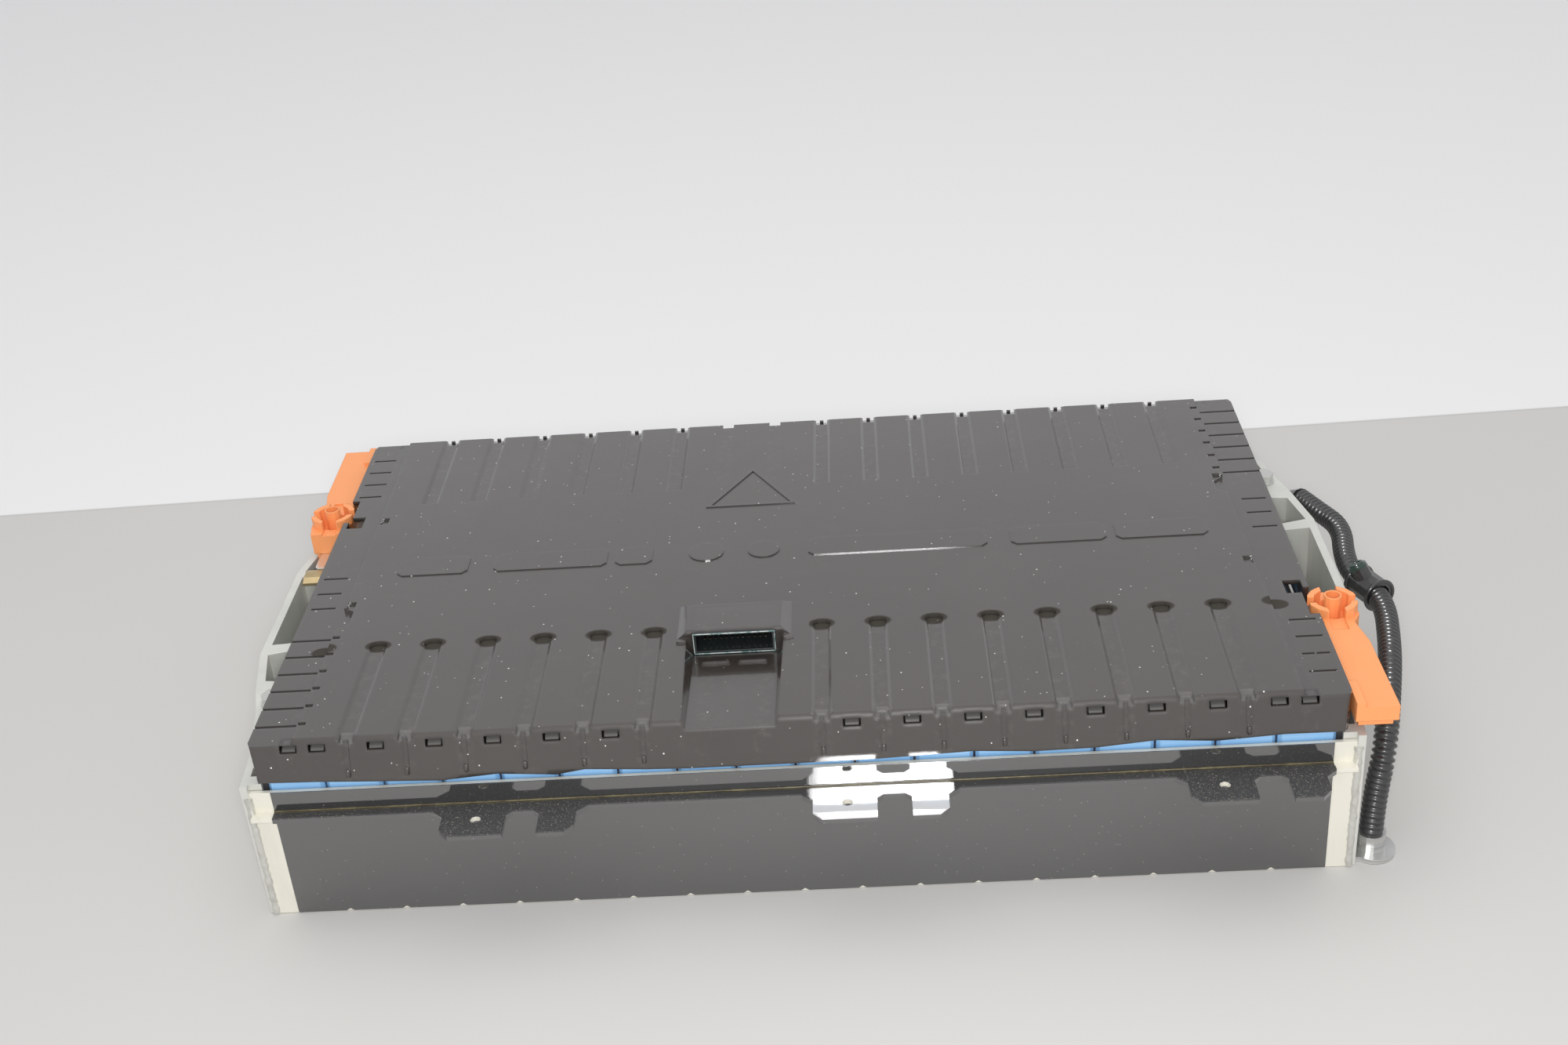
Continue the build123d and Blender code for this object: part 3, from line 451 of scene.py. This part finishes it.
def build_finishes(settings):
    """One material for each finish of the module, by the record's slot names."""
    made = {}
    dust = settings.dust

    cover = Finish(
        "cover moulded plastic", settings.cover_colour, 0.32, specular=0.5, coat=1.0, coat_roughness=0.08, coat_ior=1.62
    )
    cover.rounded(0.0026)
    cover.tint(cover.ramp(cover.noise(9, 5, 0.6), 0.42, 0.72, 0.0, 0.35), (0.055, 0.046, 0.040))
    cover.tint(cover.ramp(cover.noise(70, 4, 0.7), 0.6, 0.8, 0.0, 0.15 * dust), (0.20, 0.19, 0.17))
    cover.specks(420, 0.17, 0.05, (0.75, 0.73, 0.68), 1.4 * dust)
    cover.specks(150, 0.075, 0.35, (0.85, 0.83, 0.78), 1.8 * dust)
    x, y, z = cover.coordinates()
    aside = off_cell_middle(cover, x)
    # residue pressed into the dimples at the inner ends of the front grooves
    along = cover.times(cover.off(y, DIMPLE_Y), 1.5)
    squares = cover.maths("ADD", cover.maths("POWER", aside, 2.0), cover.maths("POWER", along, 2.0))
    from_dimple = cover.maths("SQRT", squares)
    clear_of_hood = cover.maths("GREATER_THAN", cover.off(x, HOOD_X), HOOD_HALF)
    flecks = cover.ramp(cover.noise(520, 4, 0.7), 0.36, 0.56)
    spot = cover.times(cover.ramp(from_dimple, 0.0062, 0.0040), clear_of_hood, flecks)
    cover.tint(cover.times(spot, 0.8), (0.035, 0.034, 0.018))
    # dust that gathers along the grooves
    outside = cover.ramp(cover.off(y), *GROOVE_START)
    flecks = cover.ramp(cover.noise(180, 5, 0.75), 0.50, 0.72)
    track = cover.times(cover.ramp(aside, 0.0052, 0.0030), outside, flecks)
    cover.tint(cover.times(track, 0.15 * dust), (0.42, 0.40, 0.37))
    # fine scratches in two directions
    for scale, stretch in ((38, (1.0, 14.0, 1.0)), (47, (12.0, 1.0, 1.0))):
        mark = cover.ramp(cover.noise(scale, 6, 0.8, stretch), 0.705, 0.73)
        cover.tint(cover.times(mark, 0.12 * dust), (0.40, 0.385, 0.36))
    cover.vary_roughness(cover.noise(24, 6, 0.65), 0.28, 0.40)
    cover.relief(cover.noise(1500, 2), 0.05, 0.00005)
    cover.matt_where(cover.times(cover.ramp(from_dimple, 0.0074, 0.0062), clear_of_hood), 0.8)
    made["cover_plastic"] = cover.material

    film = Finish(
        "glossy black film", settings.film_colour, 0.12, specular=1.0, coat=1.0, coat_roughness=0.03, coat_ior=2.1
    )
    film.rounded(0.0006)
    film.tint(film.ramp(film.noise(16, 4, 0.6), 0.45, 0.75, 0.0, 0.25), (0.045, 0.045, 0.047))
    film.specks(700, 0.20, 0.05, (0.55, 0.53, 0.45), dust)
    x, y, z = film.coordinates()
    # dust that lies on the ledge and the tabs
    level = film.between(z, LEDGE_Z)
    outer_tabs = film.ramp(film.off(x, MIDDLE_NOTCH_X), 0.05, 0.14, 0.10, 1.0)
    grains = film.ramp(film.noise(1500, 3, 0.8), 0.60, 0.66)
    film.tint(film.times(grains, level, outer_tabs, 1.2 * dust), (0.66, 0.62, 0.50))
    # painted reflection: the middle tab on the front is tinted near white, as if it caught the light, and the rest of
    # the ledge is matt
    on_back = film.maths("GREATER_THAN", y, 0.0)
    from_reflection_tab = film.maths("ADD", film.off(x, REFLECTION_TAB_X), on_back)
    film.tint(film.times(level, film.ramp(from_reflection_tab, 0.0335, 0.0315)), (0.74, 0.74, 0.75))
    film.matt_where(film.times(level, film.ramp(from_reflection_tab, 0.0325, 0.0350)), 0.6)
    # olive line where the film folds up from the ledge
    near_wall = film.ramp(film.off(y), *WALL_Y)
    broken = film.ramp(film.noise(60, 4, 0.7), 0.40, 0.55, 0.2, 0.8)
    film.tint(film.times(film.between(z, FOLD_Z), near_wall, broken), (0.17, 0.14, 0.07))
    film.relief(film.noise(14, 2, 0.4, (1.0, 1.0, 0.35)), 0.10, 0.0009)
    made["black_film"] = film.material

    bare = Finish("bare cream alloy", (0.84, 0.815, 0.72), 0.42, metallic=0.25)
    bare.rounded(0.0005)
    bare.tint(bare.ramp(bare.noise(90, 4, 0.6, (1.0, 1.0, 0.2)), 0.45, 0.8, 0.0, 0.4), (0.60, 0.58, 0.50))
    bare.relief(bare.noise(600, 3, 0.6, (1.0, 1.0, 0.08)), 0.15, 0.0001)
    made["side_alloy"] = bare.material

    extruded = Finish("extruded alloy", (0.72, 0.72, 0.675), 0.40, metallic=0.35)
    extruded.rounded(0.0005)
    streaks = extruded.noise(40, 4, 0.6, (1.0, 1.0, 0.12))
    extruded.tint(extruded.ramp(streaks, 0.4, 0.8, 0.0, 0.4), (0.45, 0.46, 0.43))
    extruded.vary_roughness(extruded.noise(60, 4, 0.6, (1.0, 1.0, 0.1)), 0.34, 0.5)
    extruded.relief(extruded.noise(900, 2, 0.5, (1.0, 1.0, 0.02)), 0.25, 0.0001)
    made["end_alloy"] = extruded.material

    lining = Finish("matt lining", (0.03, 0.03, 0.033), 0.6)
    lining.relief(lining.noise(400, 3), 0.2, 0.0001)
    made["liner"] = lining.material

    cell = Finish("blue cell film", settings.cell_colour, 0.3, specular=0.5, coat=0.3)
    cell.rounded(0.0010)
    cell.tint(cell.ramp(cell.noise(30, 3), 0.4, 0.7, 0.0, 0.3), (0.14, 0.38, 0.74))
    # grey below the side ledge
    height = cell.coordinates()[2]
    cell.tint(cell.ramp(height, *CELL_FILM_END), (0.30, 0.30, 0.305))
    made["cell_film"] = cell.material

    foam = Finish("dark foam", (0.045, 0.045, 0.05), 0.9)
    foam.relief(foam.noise(1200, 3), 0.5, 0.0003)
    made["foam"] = foam.material

    carrier = Finish("carrier plastic", (0.10, 0.095, 0.09), 0.28, specular=0.6)
    carrier.rounded(0.0005)
    carrier.relief(carrier.noise(900, 2), 0.15, 0.0001)
    made["carrier"] = carrier.material

    bus = Finish("bright bus alloy", (0.82, 0.82, 0.80), 0.26, metallic=0.85)
    bus.rounded(0.0006)
    bus.tint(bus.ramp(bus.noise(120, 4, 0.6, (1.0, 0.15, 1.0)), 0.45, 0.8, 0.0, 0.5), (0.64, 0.65, 0.64))
    bus.relief(bus.noise(900, 2, 0.5, (1.0, 0.05, 1.0)), 0.2, 0.0001)
    made["bus_aluminium"] = bus.material

    copper = Finish("plated copper", (0.80, 0.79, 0.76), 0.24, metallic=0.9)
    copper.rounded(0.0005)
    copper.tint(copper.ramp(copper.noise(60, 4), 0.5, 0.8, 0.0, 0.5), (0.62, 0.54, 0.46))
    made["copper"] = copper.material

    guard = Finish("orange guard plastic", settings.guard_colour, 0.42, specular=0.5)
    guard.rounded(0.0006)
    guard.tint(guard.ramp(guard.noise(45, 4, 0.6), 0.4, 0.75, 0.0, 0.35), (0.98, 0.40, 0.15))
    guard.shader.inputs["Subsurface Weight"].default_value = 0.08
    guard.shader.inputs["Subsurface Radius"].default_value = (0.003, 0.0012, 0.0005)
    guard.relief(guard.noise(900, 2), 0.1, 0.0001)
    made["orange_plastic"] = guard.material

    steel = Finish("plated steel", (0.66, 0.66, 0.64), 0.28, metallic=0.9)
    steel.rounded(0.0004)
    steel.relief(steel.noise(800, 3), 0.15, 0.0001)
    made["steel"] = steel.material

    shell = Finish("socket plastic", (0.02, 0.024, 0.024), 0.22, specular=0.6)
    shell.rounded(0.0004)
    shell.tint(shell.ramp(shell.noise(500, 3), 0.6, 0.8, 0.0, 0.4), (0.05, 0.09, 0.085))
    made["socket_plastic"] = shell.material

    # painted shade: the plated contacts are coloured dark because they sit in the shaded inside of the socket
    tin = Finish("contacts darkened as painted shade", (0.06, 0.056, 0.048), 0.35, metallic=0.9)
    tin.tint(tin.ramp(tin.noise(300, 3), 0.5, 0.8, 0.0, 0.5), (0.035, 0.032, 0.026))
    made["tin"] = tin.material

    bronze = Finish("sprung bronze", (0.56, 0.44, 0.24), 0.3, metallic=0.8)
    bronze.rounded(0.0005)
    bronze.tint(bronze.ramp(bronze.noise(160, 3), 0.45, 0.8, 0.0, 0.5), (0.38, 0.29, 0.15))
    made["bronze"] = bronze.material

    hose = Finish("conduit plastic", (0.020, 0.020, 0.021), 0.26, specular=0.7, coat=0.5, coat_roughness=0.12)
    hose.tint(hose.ramp(hose.noise(220, 4, 0.65), 0.58, 0.8, 0.0, 0.7 * dust), (0.12, 0.118, 0.11))
    hose.vary_roughness(hose.noise(90, 4), 0.24, 0.42)
    hose.relief(hose.noise(1200, 2), 0.12, 0.0001)
    made["conduit_plastic"] = hose.material

    turned = Finish("turned alloy", (0.72, 0.72, 0.71), 0.26, metallic=0.85)
    turned.rounded(0.0003)
    lines = turned.noise(1400, 2, 0.5, (0.02, 0.02, 1.0))
    turned.tint(turned.ramp(lines, 0.40, 0.60, 0.0, 0.6), (0.42, 0.42, 0.41))
    turned.relief(lines, 0.35, 0.0001)
    made["sleeve_alloy"] = turned.material

    # painted sheen: pale teal colour for the frame that stands in for the highlight on the socket's edge
    sheen = Finish("socket edge painted sheen", (0.50, 0.56, 0.55), 0.2, specular=0.8, coat=0.6)
    sheen.tint(sheen.ramp(sheen.noise(320, 4, 0.7), 0.46, 0.60), (0.10, 0.22, 0.21))
    made["sheen"] = sheen.material

    cap = Finish("dark green cap", (0.02, 0.045, 0.035), 0.16, specular=0.7)
    cap.tint(cap.ramp(cap.noise(420, 3), 0.55, 0.75, 0.0, 0.6), (0.06, 0.085, 0.07))
    cap.relief(cap.noise(900, 2), 0.1, 0.0001)
    made["cap"] = cap.material

    glue = Finish("olive glue line", (0.075, 0.062, 0.03), 0.3, specular=0.6)
    glue.tint(glue.ramp(glue.noise(140, 4, 0.7), 0.4, 0.7), (0.20, 0.17, 0.09))
    made["glue"] = glue.material

    weld = Finish("weld bead", (0.66, 0.655, 0.61), 0.36, metallic=0.55)
    weld.tint(weld.ramp(weld.noise(220, 4), 0.5, 0.8, 0.0, 0.6), (0.38, 0.37, 0.33))
    weld.relief(weld.noise(500, 4), 0.4, 0.0004)
    made["weld"] = weld.material
    return made


FINISHES = {}  # filled by the first step, and read by the others


# ------------------------------------------------------------------ operators
class MODULE_OT_finishes(bpy.types.Operator):
    """Gives every solid of the module its finish"""

    bl_idname = "module.finishes"
    bl_label = "Finishes"

    def execute(self, context):
        FINISHES.update(build_finishes(context.scene.module_finish))
        slots = {s["node"]: s["material_slot"] for s in frame["record"]["subparts"]}
        for name, node in NODES.items():
            material = FINISHES[slots[name]]
            node.data.materials.clear()
            node.data.materials.append(material)
        return {"FINISHED"}


class MODULE_OT_conduit(bpy.types.Operator):
    """Rings of the corrugated conduit along its route, and the collars and cap of its branch"""

    bl_idname = "module.conduit"
    bl_label = "Corrugated conduit"

    def execute(self, context):
        sizes = context.scene.module_conduit
        deselect()
        curve = bpy.data.curves.new("conduit_line", "CURVE")
        curve.dimensions = "3D"
        spline = curve.splines.new("NURBS")
        spline.points.add(len(CONDUIT_ROUTE) - 1)
        for point, at in zip(spline.points, CONDUIT_ROUTE):
            point.co = (*at, 1)
        spline.order_u = 3
        spline.use_endpoint_u = True
        spline.resolution_u = 24
        guide = bpy.data.objects.new("conduit_line", curve)
        context.scene.collection.objects.link(guide)
        line = bpy.data.meshes.new_from_object(guide)
        verts = [point.co.copy() for point in line.vertices]
        length = sum((b - a).length for a, b in zip(verts, verts[1:]))
        rings = round(length / sizes.ring_pitch)
        pitch = length / rings
        # one ring, drawn as a circle and pulled out along X in short steps: the share of the pitch
        # that each step covers, and how high it ends between the root (0) and the ring (1)
        bpy.ops.mesh.primitive_circle_add(vertices=28, radius=sizes.root_radius, rotation=(0, math.pi / 2, 0))
        hose = added("conduit_rings")
        settle(hose)
        bpy.ops.object.mode_set(mode="EDIT")
        bpy.ops.mesh.select_all(action="SELECT")
        profile = [(0.14, 0.08), (0.12, 0.70), (0.14, 1.0), (0.20, 1.0), (0.14, 0.70), (0.12, 0.08), (0.14, 0.0)]
        before = sizes.root_radius
        for step, rise in profile:
            radius = sizes.root_radius + rise * (sizes.ring_radius - sizes.root_radius)
            bpy.ops.mesh.extrude_region_move(TRANSFORM_OT_translate={"value": (step * pitch, 0, 0)})
            bpy.ops.transform.resize(value=(1, radius / before, radius / before))
            before = radius
        done(hose)
        array = hose.modifiers.new("rings", "ARRAY")
        array.count = rings
        array.relative_offset_displace = (1, 0, 0)
        array.use_merge_vertices = True
        array.merge_threshold = 0.00002
        bend = hose.modifiers.new("route", "CURVE")
        bend.object = guide
        apply_all(hose)
        bpy.data.objects.remove(guide)
        bpy.data.meshes.remove(line)
        # closed ends
        only(hose)
        bpy.ops.object.mode_set(mode="EDIT")
        bpy.ops.mesh.select_mode(type="EDGE")
        bpy.ops.mesh.select_all(action="DESELECT")
        bpy.ops.mesh.select_non_manifold(extend=False)
        bpy.ops.mesh.edge_face_add()
        outward(done(hose))
        smooth(hose, 50)
        dress(hose, FINISHES["conduit_plastic"])
        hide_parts("conduit")

        # collars at both ends of the branch sleeve
        route = [Vector(at) for at in CONDUIT_ROUTE]
        along = (route[5] - route[4]).normalized()
        middle = (route[4] + route[5]) / 2
        collars = []
        for side in (-1, 1):
            deselect()
            turn = along.to_track_quat("Z", "Y").to_euler()
            bpy.ops.mesh.primitive_torus_add(
                location=middle + along * side * COLLAR_OFFSET,
                rotation=turn,
                major_radius=0.0082,
                minor_radius=0.0011,
                major_segments=40,
                minor_segments=12,
            )
            collars.append(added(f"collar_{side}"))
        collar = joined(collars, "conduit_collars")
        smooth(collar)
        dress(collar, FINISHES["conduit_plastic"])
        # stepped cap on the branch
        deselect()
        bpy.ops.mesh.primitive_cylinder_add(vertices=32, radius=0.0051, depth=0.0022)
        cap = added("branch_cap")
        pick(cap, "FACE", lambda centre, normal: normal.z > 0.9)
        bpy.ops.mesh.inset(thickness=0.0012)
        bpy.ops.mesh.extrude_region_move(TRANSFORM_OT_translate={"value": (0, 0, 0.0009)})
        bpy.ops.mesh.inset(thickness=0.0014)
        bpy.ops.mesh.extrude_region_move(TRANSFORM_OT_translate={"value": (0, 0, -0.0005)})
        done(cap)
        turn = BRANCH.to_track_quat("Z", "Y").to_matrix().to_4x4()
        cap.data.transform(Matrix.Translation(middle + BRANCH * CAP_OFFSET) @ turn)
        bevelled(cap, 0.0003)
        smooth(cap)
        dress(cap, FINISHES["cap"])
        return {"FINISHED"}


class MODULE_OT_welds(bpy.types.Operator):
    """Weld beads between the side plates and the end plates"""

    bl_idname = "module.welds"
    bl_label = "Weld beads"

    def execute(self, context):
        rise = WELD_HEIGHT / WELD_STEPS
        swells = (0.978, 1.10, 0.93)  # growth of the bead's width at every third step
        for sx, end in ((-1, "left"), (1, "right")):
            for sy, side in ((-1, "front"), (1, "back")):
                deselect()
                foot = (sx * WELD_X, sy * WELD_Y, WELD_Z)
                bpy.ops.mesh.primitive_cylinder_add(vertices=14, radius=0.0019, depth=rise, location=foot)
                bead = added(f"weld_{end}_{side}")
                settle(bead)
                pick(bead, "FACE", lambda centre, normal: normal.z > 0.9)
                for step in range(1, WELD_STEPS):
                    swell = swells[step % 3]
                    bpy.ops.mesh.extrude_region_move(TRANSFORM_OT_translate={"value": (0, 0, rise)})
                    bpy.ops.transform.resize(value=(swell, swell, 1))
                done(bead)
                roughened(bead, 0.0035, 0.0013)
                smooth(bead, 60)
                dress(bead, FINISHES["weld"])
        return {"FINISHED"}


class MODULE_OT_trims(bpy.types.Operator):
    """Thin trims: glue lines on the ledges, a pale frame painted as the sheen on the socket's edge, and the tips of the
    skirt ribs
    """

    bl_idname = "module.trims"
    bl_label = "Trims"

    def execute(self, context):
        for sy, name in ((-1, "front"), (1, "back")):
            deselect()
            bpy.ops.mesh.primitive_cylinder_add(
                vertices=8,
                radius=0.00045,
                depth=GLUE_LENGTH,
                location=(0, sy * GLUE_Y, GLUE_Z),
                rotation=(0, math.pi / 2, 0),
            )
            line = added("glue_line_" + name)
            settle(line)
            pick(line, "EDGE", lambda one, other: abs(one.x - other.x) > 0.1)
            bpy.ops.mesh.subdivide(number_cuts=160)
            done(line)
            roughened(line, 0.006, 0.0005)
            smooth(line, 60)
            dress(line, FINISHES["glue"])

        # painted sheen: a thin pale frame round the mouth of the socket stands in for the highlight on its edge
        low, high = (Vector(v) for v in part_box("socket_shell"))
        deselect()
        mouth = ((low.x + high.x) / 2, low.y - 0.0001, (low.z + high.z) / 2)
        bpy.ops.mesh.primitive_plane_add(size=1.0, location=mouth, rotation=(math.pi / 2, 0, 0))
        rim = added("socket_edge_sheen")
        rim.scale = (high.x - low.x, high.z - low.z, 1)
        settle(rim)
        pick(rim, "FACE", lambda centre, normal: True)
        bpy.ops.mesh.inset(thickness=RIM_WIDTH)
        bpy.ops.mesh.delete(type="FACE")
        pick(rim, "FACE", lambda centre, normal: True)
        bpy.ops.mesh.extrude_region_move(TRANSFORM_OT_translate={"value": (0, -RIM_DEPTH, 0)})
        done(rim)
        outward(rim)
        bevelled(rim, 0.0002)
        smooth(rim)
        dress(rim, FINISHES["sheen"])

        # rounded tips at the lower ends of the skirt ribs, one shaped and the others copied from it
        deselect()
        bpy.ops.mesh.primitive_uv_sphere_add(segments=10, ring_count=7, radius=0.0011)
        tip = added("rib_tip")
        pick(tip, "VERT", lambda point: point.z > 0.0002)
        bpy.ops.transform.translate(value=(0, 0.0007, 0.0022))
        done(tip)
        tips = []
        for sy, turn in ((-1, 0), (1, math.pi)):
            for x in GROOVES:
                place = Matrix.Translation((x, sy * TIP_Y, TIP_Z)) @ Matrix.Rotation(turn, 4, "Z")
                tips.append(copied(tip, place))
        bpy.data.objects.remove(tip)
        tips = joined(tips, "rib_tips")
        smooth(tips, 60)
        dress(tips, FINISHES["cover_plastic"])
        return {"FINISHED"}


class MODULE_OT_stage(bpy.types.Operator):
    """Pale floor with a lighter ground behind it, soft lamps and the camera"""

    bl_idname = "module.stage"
    bl_label = "Stage"

    def execute(self, context):
        sizes = context.scene.module_stage
        camera_data = bpy.data.cameras.new("camera")
        camera = bpy.data.objects.new("camera", camera_data)
        context.scene.collection.objects.link(camera)
        camera_data.sensor_width = SENSOR
        camera_data.lens = FOCAL_SHARE * SENSOR
        camera_data.clip_end = 50.0
        elevation, azimuth, roll = (math.radians(angle) for angle in CAMERA_ANGLES)
        level = math.cos(elevation)
        forward = Vector((math.sin(azimuth) * level, math.cos(azimuth) * level, -math.sin(elevation)))
        right = forward.cross(Vector((0, 0, 1))).normalized()
        down = forward.cross(right)
        turned_right = right * math.cos(roll) - down * math.sin(roll)
        turned_down = right * math.sin(roll) + down * math.cos(roll)
        matrix = Matrix((turned_right, -turned_down, -forward)).transposed().to_4x4()
        matrix.translation = CAMERA_PLACE
        camera.matrix_world = matrix
        context.scene.camera = camera
        context.scene.view_settings.view_transform = "Standard"

        deselect()
        bpy.ops.mesh.primitive_grid_add(x_subdivisions=8, y_subdivisions=8, size=12.0, location=(0, 0, -0.0002))
        floor = added("floor")
        settle(floor)
        pale = Finish("pale floor", sizes.floor_colour, 0.55, specular=0.2)
        lighter = tuple(value * 1.12 for value in sizes.floor_colour)
        pale.tint(pale.ramp(pale.noise(2.2, 3), 0.35, 0.75, 0.0, 0.25), lighter)
        pale.specks(60, 0.02, 0.02, (0.40, 0.39, 0.37), 0.6)
        # the lighter ground beyond the line, and a thin dark seam on it
        slope, start = FLOOR_LINE
        x, y, z = pale.coordinates()
        beyond = pale.maths("SUBTRACT", y, pale.maths("ADD", pale.times(x, slope), start))
        pale.tint(pale.ramp(beyond, -0.0004, 0.0012), sizes.backdrop_colour)
        pale.tint(pale.ramp(pale.off(beyond), 0.0022, 0.0004, 0.0, 0.35), (0.42, 0.41, 0.39))
        floor.data.materials.append(pale.material)
        world = bpy.data.worlds.new("room")
        context.scene.world = world
        world.use_nodes = True
        room = world.node_tree.nodes["Background"]
        room.inputs["Color"].default_value = (0.98, 0.985, 1.0, 1)
        room.inputs["Strength"].default_value = sizes.room_level
        near = CAMERA_PLACE - forward * 0.10
        lamp("front", near, near + forward, 0.15, 0.12, sizes.front_power)
        lamp("overhead", (-0.1, 0.35, 1.9), (0.0, 0.0, 0.0), 1.8, 1.2, sizes.overhead_power, (1.0, 0.99, 0.97))
        return {"FINISHED"}


class MODULE_PT_panel(bpy.types.Panel):
    """Lists the steps that dress the module"""

    bl_label = "Battery module"
    bl_idname = "MODULE_PT_panel"
    bl_space_type = "VIEW_3D"
    bl_region_type = "UI"
    bl_category = "Battery module"

    def draw(self, context):
        for step in STEPS:
            self.layout.operator(step)
        for group in ("module_stage", "module_finish", "module_conduit"):
            settings = getattr(context.scene, group)
            for key in settings.__annotations__:
                self.layout.prop(settings, key)


STEPS = ("module.finishes", "module.conduit", "module.welds", "module.trims", "module.stage")
CLASSES = (
    ModuleStageSettings,
    ModuleFinishSettings,
    ModuleConduitSettings,
    MODULE_OT_finishes,
    MODULE_OT_conduit,
    MODULE_OT_welds,
    MODULE_OT_trims,
    MODULE_OT_stage,
    MODULE_PT_panel,
)


def register():
    for item in CLASSES:
        bpy.utils.register_class(item)
    bpy.types.Scene.module_stage = bpy.props.PointerProperty(type=ModuleStageSettings)
    bpy.types.Scene.module_finish = bpy.props.PointerProperty(type=ModuleFinishSettings)
    bpy.types.Scene.module_conduit = bpy.props.PointerProperty(type=ModuleConduitSettings)


def unregister():
    del bpy.types.Scene.module_stage
    del bpy.types.Scene.module_finish
    del bpy.types.Scene.module_conduit
    for item in reversed(CLASSES):
        bpy.utils.unregister_class(item)


def main():
    register()
    bpy.ops.module.finishes()
    bpy.ops.module.conduit()
    bpy.ops.module.welds()
    bpy.ops.module.trims()
    bpy.ops.module.stage()


if __name__ == "__main__":
    main()
